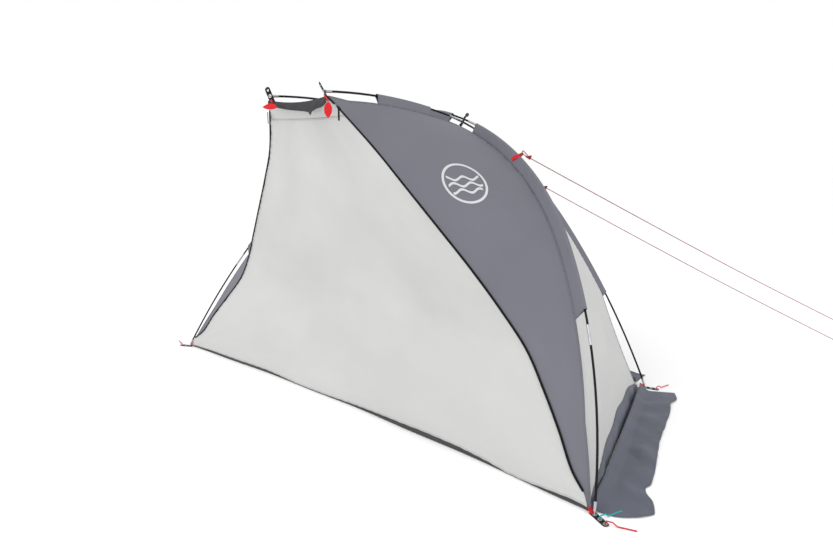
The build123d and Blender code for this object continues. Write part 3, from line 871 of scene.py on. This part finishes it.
def door_grid(rows=140, cols=230):
    right = EDGE.at(np.linspace(0.0, edge_share(1.408), rows)) - np.array([0.002, 0, 0])
    left = right * FLIP
    x = np.linspace(left[0, 0], right[0, 0], cols)
    bottom = np.stack([x, front_edge(x) - 0.004, band_height(x) - 0.003], -1)
    ends = np.abs(np.linspace(-1, 1, cols))[:, None] ** 30
    bottom = bottom * (1 - ends) + ends * np.where(x[:, None] < 0, left[0], right[0])
    return patch(bottom, hanging(right[-1], DOOR_SAG, cols), left, right)


door = door_grid()
out = normals(door, (0, -1, 0))
folds = slack(door, 0.005, 0.25, 0.8, (31, 32), 0.034, 0.0012, 0.03)
folds += inside(door, 0.05) * creases(door, (
    ((-0.20, -0.70, 1.42), (-0.02, -0.62, 1.24), 0.012, 0.003),
    ((-0.19, -0.70, 1.41), (0.10, -0.66, 1.33), 0.010, 0.003),
    ((0.20, -0.70, 1.42), (0.02, -0.66, 1.30), 0.010, 0.003),
    ((0.62, -0.56, 0.03), (0.50, -0.52, 0.20), 0.012, 0.003),
    ((0.10, -0.55, 0.02), (0.22, -0.52, 0.12), 0.010, 0.003),
    ((1.30, -0.59, 0.03), (1.05, -0.52, 0.24), 0.014, 0.004),
    ((-1.30, -0.59, 0.03), (-1.02, -0.52, 0.22), 0.014, 0.004),
))
door = door + out * folds[..., None]
sheet("door_cloth", door, CLOTH_LIGHT, (2.72, 1.5), 2.38, ["door_panel"], body="door")

# The groundsheet, and its front edge turned up in front of the door's foot.
FLOOR_HALF, FLOOR_REAR_HALF = 1.345, 1.158
x = np.linspace(-FLOOR_HALF, FLOOR_HALF, 200)
rise = np.linspace(0, 1, 10)[:, None]
hem = np.stack([
    np.broadcast_to(x, (10, 200)), front_edge(x)[None] - 0.002 + 0.003 * rise,
    0.001 + rise * (band_height(x) - 0.001),
], -1)
hem[..., 1] += 0.002 * ripples(metres_uv(hem), 61, 0.12) * np.sin(math.pi * rise)
# The turned-up front edge is drawn in slate cloth darkened with painted shade.
sheet("front_band", hem, CLOTH_SHADED_HEM, (2.7, 0.03), 0.050, ["front_hem"], slot="cloth_slate")
rows, cols = 60, 120
t = np.linspace(0, 1, rows)[:, None]
s = np.linspace(-1, 1, cols)[None, :]
x = s * (FLOOR_HALF * (1 - t) + FLOOR_REAR_HALF * t)
y = front_edge(x) * (1 - t) + FLOOR_REAR * t
laid = np.stack([x, y, np.zeros_like(x)], -1)
lumps = ripples(metres_uv(laid), 71, 0.30)
laid[..., 2] = 0.0016 + 0.004 * np.clip(lumps, 0, 1) * inside(laid, 0.08)
sheet("floor_cloth", laid, CLOTH_SLATE, (2.69, 1.18), 2.95, ["groundsheet"], "laid")

# ---- skirts that lie on the ground ----
def skirt_grid(inner, outer, seed, rows=120, cols=26):
    """A flap from its seam down to the ground and out to a wavy edge, each given as a plan."""
    a, b = (smooth([(*place, 0) for place in line]) for line in (inner, outer))
    share = np.linspace(0, 1, rows)
    a, b = a.at(share), b.at(share)
    t = np.linspace(0, 1, cols)[None, :, None]
    grid = a[:, None] * (1 - t) + b[:, None] * t
    fall = np.clip(1 - t[..., 0] / 0.30, 0, 1) ** 1.6
    pairs = metres_uv(grid)
    arch = np.sin(math.pi * np.clip(t[..., 0], 0.12, 1) * 0.85)
    lift = np.clip(0.35 + ripples(pairs, seed, 0.17), 0, 1.4) * 0.010 * arch
    ends = np.clip(np.minimum(share, 1 - share) / 0.05, 0.35, 1)[:, None]
    curl = 0.006 * np.clip(ripples(pairs, seed + 1, 0.10), 0, 1) * t[..., 0] ** 6
    grid[..., 2] = 0.0020 + 0.036 * fall + (lift + curl) * ends
    grid[..., 0] += 0.004 * ripples(pairs, seed + 2, 0.12) * t[..., 0] ** 2
    return grid


# The flaps' seams and outer edges, seen from above. The left one is mirrored afterwards.
FLAPS = {
    "right": (
        [(1.356, -0.586), (1.338, -0.470), (1.322, -0.345), (1.258, 0.030), (1.205, 0.340),
         (1.166, 0.560)],
        [(1.428, -0.573), (1.459, -0.558), (1.500, -0.523), (1.538, -0.475), (1.541, -0.470),
         (1.540, -0.463), (1.526, -0.425), (1.511, -0.400), (1.489, -0.378), (1.466, -0.330),
         (1.478, -0.296), (1.462, -0.209), (1.434, -0.060), (1.423, -0.029), (1.407, 0.082),
         (1.388, 0.220), (1.370, 0.368), (1.345, 0.478), (1.354, 0.564), (1.325, 0.640)],
    ),
    "left": (
        [(1.356, -0.573), (1.322, -0.345), (1.258, 0.030), (1.205, 0.340), (1.166, 0.560)],
        [(1.400, -0.520), (1.440, -0.430), (1.452, -0.325), (1.450, -0.215), (1.424, -0.030),
         (1.407, 0.090), (1.386, 0.215), (1.344, 0.490), (1.328, 0.575), (1.320, 0.640)],
    ),
    "rear": (
        [(-1.118, 0.627), (0.0, 0.627), (1.118, 0.627)],
        [(-1.128, 0.775), (-0.95, 0.790), (-0.60, 0.778), (-0.2, 0.792), (0.25, 0.780),
         (0.62, 0.791), (0.93, 0.777), (1.126, 0.788)],
    ),
}
BEND = ((0, -0.52, 0), (0, -0.36, 0))  # where a side flap's front end starts to fold, and ends
for word, flat, area in (("right", (0.2, 1.2), 0.20), ("left", (0.2, 1.2), 0.20),
                         ("rear", (0.18, 2.25), 0.36)):
    if word == "rear":
        grid, body = skirt_grid(*FLAPS[word], 91, 200), "skirt_b"
    else:
        grid, body = skirt_grid(*FLAPS[word], 81), ("shelter", f"skirt_{word[0]}", *BEND)
    sheet(
        f"ground_flap_{word}", mirrored(grid) if word == "left" else grid, CLOTH_SLATE, flat, area,
        [f"skirt_{word}"], "laid", body=body,
    )


# ---- pole sleeves ----
SLEEVE_RADIUS, SLEEVE_LIP = 0.0088, 0.0007


def sleeve_grid(pole, way_in, plane_normal, gaps, share, slant, rows, seed):
    """Cloth round a pole and down to the seam on both sides: a teardrop in section. Pole, way_in
    and gaps give the pole's line, the way in to the seam and the gap for an array of shares."""
    turn = math.acos(SLEEVE_RADIUS / SLEEVE)
    angles = np.linspace(turn, 2 * math.pi - turn, 17)
    loop = SLEEVE_RADIUS * np.stack([np.cos(angles), np.sin(angles)], -1)
    run = np.linspace(0, 1, 7)[:-1, None]
    up = np.array([SLEEVE, SLEEVE_LIP]) * (1 - run) + loop[0] * run
    down = np.array([SLEEVE, -SLEEVE_LIP]) * (1 - run) + loop[-1] * run
    profile = np.concatenate([up, loop, down[::-1]])
    depth = profile[:, 0] / SLEEVE
    t = np.linspace(0, 1, rows)[:, None]
    spots = share[0] * (1 - t) + share[1] * t
    bow = np.clip(depth, 0, 1)[None]
    spots = spots + slant[0] * (1 - t) ** 8 * bow + slant[1] * t**8 * bow
    ratio = gaps(spots) / SLEEVE
    inward_by = np.where(depth[None] > 0.2, profile[None, :, 0] * ratio, profile[None, :, 0])
    along = t * Line(pole(np.linspace(*share, 60))).length
    around = np.cumsum(np.linalg.norm(np.diff(profile, axis=0, prepend=profile[:1]), axis=1))
    weave = np.stack(np.broadcast_arrays(around[None], along), -1)
    waves = 0.0010 * ripples(weave, seed, 0.05) * np.sin(math.pi * np.clip(depth, 0, 1))[None]
    hem = SLEEVE_LIP * (np.clip(1 - np.minimum(t, 1 - t) * along[-1] / HEM, 0, 1) > 0)
    outward = profile[None, :, 1] + waves + np.sign(profile[None, :, 1]) * hem
    grid = pole(spots) + way_in(spots) * inward_by[..., None]
    grid = grid + np.asarray(plane_normal)[None, None] * outward[..., None]
    edge = np.stack(np.broadcast_arrays(np.minimum(along, along[-1] - along), around[None]), -1)
    return grid, weave, edge


def bow_inward(share):
    return inward(BOW, BOW_NORMAL, share)


ON_ARCH = (arch_pole, arch_inward, ARCH_NORMAL, arch_gap)
ON_BOW = (BOW.at, bow_inward, BOW_NORMAL, bow_gap)
SLEEVES = [
    ("arch_centre", ON_ARCH, (-0.0721, 0.0721), (0, 0), 40, 0.34),
    ("arch", ON_ARCH, (0.152, 0.670), (0.004, 0.014), 140, 1.21),
    ("bow_front", ON_BOW, (0.112, 0.238), (-0.005, 0.0), 50, 0.38),
    ("bow_rear", ON_BOW, (0.385, BOW_SLEEVE_END), (-0.003, 0.006), 140, 1.20),
]
for k, (name, pole, share, slant, rows, long) in enumerate(SLEEVES):
    grid, weave, edge = sleeve_grid(*pole, share, slant, rows, 101 + k)
    sides = [("", grid)] if name == "arch_centre" else [("_right", grid), ("_left", grid * FLIP)]
    for word, side_grid in sides:
        sheet(
            f"pole_sleeve_{name}{word}", side_grid, CLOTH_DARK, (0.12, long), None,
            [f"sleeve_{name}{word}"], weave=weave, edge=edge,
        )

# Bound edges over the seams between the panels.
for name, line in (
    ("arch", arch_seam(np.linspace(-0.992, 0.992, 500))),
    ("bow_right", bow_seam(np.linspace(0.004, 0.992, 300))),
    ("bow_left", bow_seam(np.linspace(0.004, 0.992, 300)) * FLIP),
):
    dress(tube(f"seam_binding_{name}", line, 0.0024, 8, 0.6), CLOTH_DARK)

# ---- zips ----
ZIP_FACE = unit(np.array([0.5, -1.0, 0.25]))
TOOTH_HALF, TOOTH_SHIFT, TOOTH_THICK, TOOTH_RISE = 0.0021, 0.0011, 0.0009, 0.0014
TAPE_LIFT, TAPE_THICKNESS = 0.0042, 0.0008
TAPE_SPAN = (0.0006, 0.0048)
TEETH, TEETH_SHARES, TAPE_SHARES = 640, (0.006, 0.985), (0.002, 0.992)
# The corded edge along each zip: its radius, its sway and how many of the line's points it has.
PIPING = {"right": (0.0026, 0.0008, 238), "left": (0.0034, 0.0030, 260)}


def zip_frame(share):
    """Places on the zip's line, its way there, and the directions across and out of it."""
    way = ZIP.way(share)
    across = unit(np.cross(way, ZIP_FACE))
    across = np.where(across[:, :1] < 0, -across, across)
    face = unit(np.cross(across, way))
    return ZIP.at(share), way, across, np.where(((face @ ZIP_FACE) < 0)[:, None], -face, face)


def zip_teeth():
    """Interlocking teeth: small tapered bars that reach over the middle from either side."""
    at, along, sideways, up = zip_frame(np.linspace(*TEETH_SHARES, TEETH))
    corners, faces = [], []
    box = [(-1, -1, 0), (1, -1, 0), (1, 1, 0), (-1, 1, 0), (-0.8, -0.6, 1), (0.8, -0.6, 1),
           (0.8, 0.6, 1), (-0.8, 0.6, 1)]
    sides = [(0, 3, 2, 1), (4, 5, 6, 7), (0, 1, 5, 4), (1, 2, 6, 5), (2, 3, 7, 6), (3, 0, 4, 7)]
    for i in range(TEETH):
        shift = TOOTH_SHIFT if i % 2 else -TOOTH_SHIFT
        first = len(corners)
        for a, b, c in box:
            corners.append(
                at[i] + sideways[i] * (shift + a * TOOTH_HALF) + along[i] * b * TOOTH_THICK
                + up[i] * (TAPE_LIFT + c * TOOTH_RISE)
            )
        faces += [tuple(first + k for k in side) for side in sides]
    return np.array(corners), faces


share = np.linspace(*TAPE_SHARES, 260)
centre, way, across, face = zip_frame(share)
corners, faces = zip_teeth()
for word, flip in SIDES:
    radius, sway, count = PIPING[word]
    sway = sway * ripples(share[:, None] * (1.9, 0), 121, 0.11)
    line = centre + face * 0.0006 + across * (0.0010 + sway[:, None])
    dress(tube(f"zip_piping_{word}", line[:count] * flip, radius, 8), ZIP_BLACK)
    for part, body, way_out in (("panel", "shelter", 1), ("door", "door", -1)):
        t = np.linspace(*sorted(way_out * x for x in TAPE_SPAN), 5)[None, :, None]
        t = t * np.interp(share, [0.5, 1], [1, 0.7])[:, None, None]
        grid = (centre[:, None] + across[:, None] * t + face[:, None] * TAPE_LIFT) * flip
        dress(
            grid_object(f"zip_tape_{part}_{word}", grid, metres_uv(grid)[..., ::-1], edge_uv(grid)),
            WEB_BLACK, [f"zip_tape_{word}"] if part == "panel" else (), TAPE_THICKNESS, body,
            "zip_black",
        )
    turned = faces if word == "right" else [f[::-1] for f in faces]
    dress(mesh_object(f"zip_teeth_{word}", corners * flip, turned), ZIP_BLACK)

# ---- webbing, tags and eyelets ----
WEB, WEB_STEP = 0.025, 0.0014
RING_R, RING_WALL, RING_RIM, RING_STEP, RING_SIDES = 0.0045, 0.0009, 0.0085, 0.028, 28


def web_piece(name, at, along, face, stations, half_widths, material, replaced=(), holes=(),
              bend=None, lift=0.001):
    """A flat piece of webbing from a point along a direction, with a half width at each station,
    round holes at some distances, and a bend away from its face."""
    along = unit(along)
    face = square_to(along, face)
    over = np.cross(face, along)
    places = np.arange(stations[0], stations[-1] + 1e-9, WEB_STEP)
    half = np.interp(places, stations, half_widths)[:, None]
    t = np.linspace(-1, 1, 19)[None]
    rise = lift + (np.zeros(len(places)) if bend is None else np.interp(places, stations, bend))
    middle = np.asarray(at) + along * places[:, None] + face * rise[:, None]
    grid = middle[:, None] + over * (half * t)[..., None]
    weave = np.stack(np.broadcast_arrays(places[:, None], half * t), -1)
    inner = (weave[1:, 1:] + weave[:-1, :-1]) / 2
    keep = np.ones(inner.shape[:2], bool)
    for hole in holes:
        keep &= np.hypot(inner[..., 0] - hole, inner[..., 1]) > RING_R + RING_WALL
    made = grid_object(name, grid, weave, None, keep=keep)
    return dress(made, material, replaced, WEB_THICKNESS)


def rounded(start, end, half=WEB / 2, count=12):
    """Stations and half widths of a strap that is square at its start and round at its end."""
    angle = np.linspace(0, math.pi / 2, count)
    return (
        np.concatenate([[start], end + half * np.sin(angle)]),
        np.concatenate([[half], half * np.cos(angle) + 0.0003]),
    )


def ring(at, along, face):
    """Points and faces of a pressed eyelet: a rolled rim above the webbing and a barrel in it."""
    face = unit(face)
    along = square_to(face, along)
    over = np.cross(face, along)
    profile = np.array([
        (RING_R, -0.0002), (RING_R, 0.0026), (RING_R + 0.0006, 0.0031), (0.0066, 0.0032),
        (0.0079, 0.0028), (RING_RIM, 0.0021), (0.0080, 0.0019), (RING_R + RING_WALL, 0.0019),
        (RING_R + RING_WALL, -0.0002),
    ])
    turn = np.linspace(0, 2 * math.pi, RING_SIDES, endpoint=False)
    spoke = np.cos(turn)[:, None] * along + np.sin(turn)[:, None] * over
    grid = np.asarray(at) + spoke[:, None] * profile[None, :, :1] + face * profile[None, :, 1:]
    count = len(profile)
    faces = []
    for i in range(RING_SIDES):
        here, there = i * count, (i + 1) % RING_SIDES * count
        for j in range(count):
            k = (j + 1) % count
            faces.append((here + j, there + j, there + k, here + k))
    return grid.reshape(-1, 3), faces


ring_points, ring_faces = [], []


def add_rings(at, along, face, count):
    for i in range(count):
        points, faces = ring(np.asarray(at) + unit(along) * RING_STEP * i, along, face)
        first = sum(len(p) for p in ring_points)
        ring_points.append(points)
        ring_faces.extend(tuple(first + k for k in f) for f in faces)


SKY = np.array([0.0, 0.0, 1.0])
STRAP_START, TIP_STRAP_START = -0.016, -0.034
for corner, foot, along in (
    ("front", np.array([1.3711, -0.6040, 0.0]), unit([0.877, -0.48, 0])),
    ("rear", np.array([1.1786, 0.6185, 0.0]), unit([0.98, 0.2, 0])),
):
    stations, widths = rounded(STRAP_START, 2 * RING_STEP)
    curl = np.interp(stations, [STRAP_START, 0.04, 0.07], [0.0, 0.0, 0.0012])
    climb = unit(SKY * 0.5 - along * 0.86)
    start = foot - along * 0.010 + SKY * 0.004
    for word, flip in SIDES:
        name = f"corner_strap_{corner}_{word}"
        web_piece(
            f"{name}_web", foot * flip, along * flip, SKY, stations, widths, WEB_BLACK, [name],
            [0, RING_STEP, 2 * RING_STEP], curl,
        )
        add_rings(foot * flip, along * flip, SKY, 3)
        web_piece(
            f"corner_tab_{corner}_{word}", start * flip, climb * flip, unit(SKY + along) * flip,
            [-0.004, 0.010, 0.024], [WEB / 2] * 3, WEB_RED, ["corner_tabs"],
            bend=[0.0, 0.0025, 0.0],
        )

# How each tip's strap leans and turns, and the size of its red tab.
TIP_STRAPS = {"right": ((-0.52, 0, 1), -0.62, 1.0), "left": ((-0.46, 0, 1), 0.42, 0.55)}
for word, flip in SIDES:
    lean, swing, size = TIP_STRAPS[word]
    tip, way = BOW.at(0.0) * flip, BOW.way(0.0) * flip
    rise = square_to(way, lean)
    side = unit(np.cross(rise, way))
    side = side if side[0] > 0 else -side
    face = unit(-way * math.cos(swing) + side * math.sin(swing))
    stations, widths = rounded(TIP_STRAP_START, RING_STEP + 0.002)
    web_piece(
        f"top_strap_{word}_web", tip + way * 0.004, rise, face, stations, widths, WEB_BLACK,
        [f"top_strap_{word}"], [0, RING_STEP],
        np.interp(stations, [TIP_STRAP_START, 0, 0.045], [-0.003, 0, 0.003]),
    )
    add_rings(tip + way * 0.004, rise, face, 2)
    web_piece(
        f"top_tab_{word}", tip + way * 0.002 - rise * 0.022 + face * 0.003, -rise + side * 0.5,
        face, np.array([-0.006, 0.012, 0.026]) * size, np.array([0.008, 0.0095, 0.006]) * size,
        WEB_RED, bend=[0.0, 0.003, 0.001],
    )
    edge_line = EDGE.at(np.linspace(edge_share(1.452), 1.0, 16)) * flip + (0, -0.003, 0)
    dress(tube(f"edge_binding_{word}", edge_line, 0.0042, 10, 0.5), WEB_BLACK)

rings = mesh_object("pressed_eyelets", np.concatenate(ring_points), ring_faces, True)
dress(rings, STEEL, ["eyelets"])

LEAF = [0.0, 0.006, 0.018, 0.030, 0.042, 0.053, 0.062]
LEAF_HALF = [0.0015, 0.0092, 0.0152, 0.0162, 0.0140, 0.0078, 0.0006]
for word, at, along, face, bend in (
    ("right", (0.232, FRONT - 0.162, 1.456), (-0.08, 0, -1), (0.62, -0.78, 0),
     [0, 0.001, 0.002, 0.0025, 0.002, 0.0005, -0.001]),
    ("left", (-0.106, FRONT - 0.156, 1.452), (-0.72, -0.69, 0), (0.55, -0.58, 0.6),
     [0, 0.001, 0.002, 0.002, 0.001, -0.001, -0.002]),
):
    web_piece(
        f"leaf_tag_{word}_web", at, along, face, LEAF, LEAF_HALF, WEB_RED, [f"leaf_tag_{word}"],
        bend=bend,
    )
for line, normal, share, name in (
    (ARCH, ARCH_NORMAL, 0.303, "arch"), (BOW, BOW_NORMAL, 0.545, "bow")
):
    out = -inward(line, normal, share)
    at, way = line.at(share), line.way(share)
    for word, flip in SIDES:
        web_piece(
            f"guy_tab_{name}_{word}", (at + out * 0.006) * flip, out * flip,
            np.cross(way, out) * flip, [0, 0.008, 0.015], [0.011, 0.011, 0.0095], WEB_RED,
            ["guy_tabs"], bend=[0, 0.0008, 0], lift=0.0,
        )
        if name == "arch":
            web_piece(
                f"guy_patch_{word}", (at + normal * 0.0094) * flip, (out + way * 0.45) * flip,
                normal * flip, [-0.034, -0.004, 0.008], [0.0095, 0.011, 0.009], WEB_RED,
                bend=[-0.005, 0.0005, -0.002],
            )

# The clips that hook over the crossing poles: a stem up from the canopy's seam and a pull ring.
CLIP_LINE = (  # ahead, out and back along the arch
    (0.015, -0.043, 0), (0.0125, -0.028, 0.001), (0.0122, -0.010, 0.004), (0.0120, 0.006, 0.008),
    (0.006, 0.017, 0.011),
)
CLIP_RADII = ([0, 0.30, 0.75, 1], [0.0086, 0.0062, 0.0056, 0.0045])
CLIP_SHIFT, PULL_RING, PULL_RING_BAR = 0.022, 0.0068, 0.0043
for word, flip in SIDES:
    way, out = ARCH.way(HUB), -arch_inward(HUB)
    at, ahead = ARCH.at(HUB) + way * CLIP_SHIFT, unit(np.cross(way, out))
    ahead = ahead if ahead[1] < 0 else -ahead
    stem = smooth([at + ahead * a + out * h - way * w for a, h, w in CLIP_LINE], 60).points
    thick = np.interp(np.linspace(0, 1, len(stem)), *CLIP_RADII)
    dress(
        tube(f"hub_clip_{word}", stem * flip, thick, 14, 1.15), PLASTIC_GREY,
        [f"hub_hook_{word}"], body=f"hub_hook_{word[0]}",
    )
    turn = np.linspace(0, 2 * math.pi, 41)[:, None]
    loop = at + ahead * 0.003 + out * 0.0265 - way * 0.013
    loop = loop + PULL_RING * (out * np.cos(turn) + way * np.sin(turn))
    dress(
        tube(f"hub_ring_{word}", loop * flip, PULL_RING_BAR, 12, rounded=False), PLASTIC_GREY,
        body=f"hub_hook_{word[0]}",
    )

# ---- printed roundel on the right side panel ----
ROUNDEL, ROUNDEL_GAP, WAVE_HALF = 0.100, 0.012, 0.0065
ROUNDEL_CELL = 108, 33  # row and column of the side panel's grid at its middle
PRINT_FROM, PRINT_REACH, PRINT_LIFT = 0.08, 0.2, 0.0014


def on_panel(grid, middle, e1, e2, normal, tree):
    """A flat drawing laid on the side panel."""
    laid = []
    for a, b in grid.reshape(-1, 2):
        origin = middle + e1 * a + e2 * b + normal * PRINT_FROM
        found = tree.ray_cast(Vector(origin), Vector(-normal), PRINT_REACH)[0]
        laid.append(np.array(found) + normal * PRINT_LIFT)
    return np.array(laid).reshape(*grid.shape[:2], 3)


side_cloth = bpy.data.objects["canopy_side_right"]
panel_tree = BVHTree.FromPolygons(
    [v.co for v in side_cloth.data.vertices], [p.vertices[:] for p in side_cloth.data.polygons]
)
middle, normal = panel[ROUNDEL_CELL], panel_out[ROUNDEL_CELL]
e2 = square_to(normal, SKY)
e1 = np.cross(e2, normal)
turn = np.linspace(0, 2 * math.pi, 73)
radii = np.array([ROUNDEL, ROUNDEL + 0.012])
strokes = [np.stack([np.outer(np.cos(turn), radii), np.outer(np.sin(turn), radii)], -1)]
for level in (-0.045, -0.010, 0.025):
    reach = math.sqrt(ROUNDEL**2 - level**2) - ROUNDEL_GAP
    along = np.linspace(-reach, reach, 41)[:, None]
    wave = level + 0.010 * np.sin(along * 70 + level * 60)
    strokes.append(np.stack(np.broadcast_arrays(along, wave + WAVE_HALF * np.array([[-1, 1]])), -1))
for k, stroke in enumerate(strokes):
    laid = on_panel(stroke, middle, e1, e2, normal, panel_tree)
    dress(grid_object(f"roundel_{k}", laid, stroke + 1.0, stroke * 0 + 1.0), PRINT_PALE,
          slot="cloth_light")

# ---- guy lines ----
def knot(name, at, way, size):
    """A small tight overhand knot."""
    way = unit(way)
    side = unit(np.cross(way, SKY))
    rise = np.cross(side, way)
    t = np.linspace(0, 2 * math.pi, 60)
    x, y, z = np.sin(t) + 2 * np.sin(2 * t), np.cos(t) - 2 * np.cos(2 * t), -1.4 * np.sin(3 * t)
    return tube(
        name, at + (side * x[:, None] + rise * y[:, None] + way * z[:, None]) * size, CORD / 2, 10,
        rounded=False,
    )


KNOT_SIZE = 0.0022
TAILS = {"arch": ((0.020, -0.028, 0.014), (0.046, -0.020, -0.012)),
         "bow": ((0.010, 0.014, -0.018), (0.016, 0.020, -0.040))}
for name, points in ROPE_PATHS.items():
    rope = tube(f"rope_{name}", points, CORD / 2, 10, rounded=False)
    tied = knot(f"knot_{name}", points[0], points[1] - points[0], KNOT_SIZE)
    bends = smooth([points[0], *(points[0] + v for v in TAILS[name])], 24).points
    tail = tube(f"knot_tail_{name}", bends, CORD / 2)
    dress(rope, CORD_RED, [f"guy_line_{name}"])
    dress(tied, CORD_RED)
    dress(tail, CORD_RED)

# ---- carried-over CAD nodes ----
LOOKS = {
    "pole": POLE_BLACK, "ferrules": STEEL, "shock": ELASTIC, "zip_": ZIP_BLACK,
    "runner": PLASTIC_RED, "teal": PEG_TEAL, "peg": PEG_RED,
}
for name, piece in nodes.items():
    for word, material in LOOKS.items():
        if word in name:
            piece.data.materials.clear()
            piece.data.materials.append(material)
            break
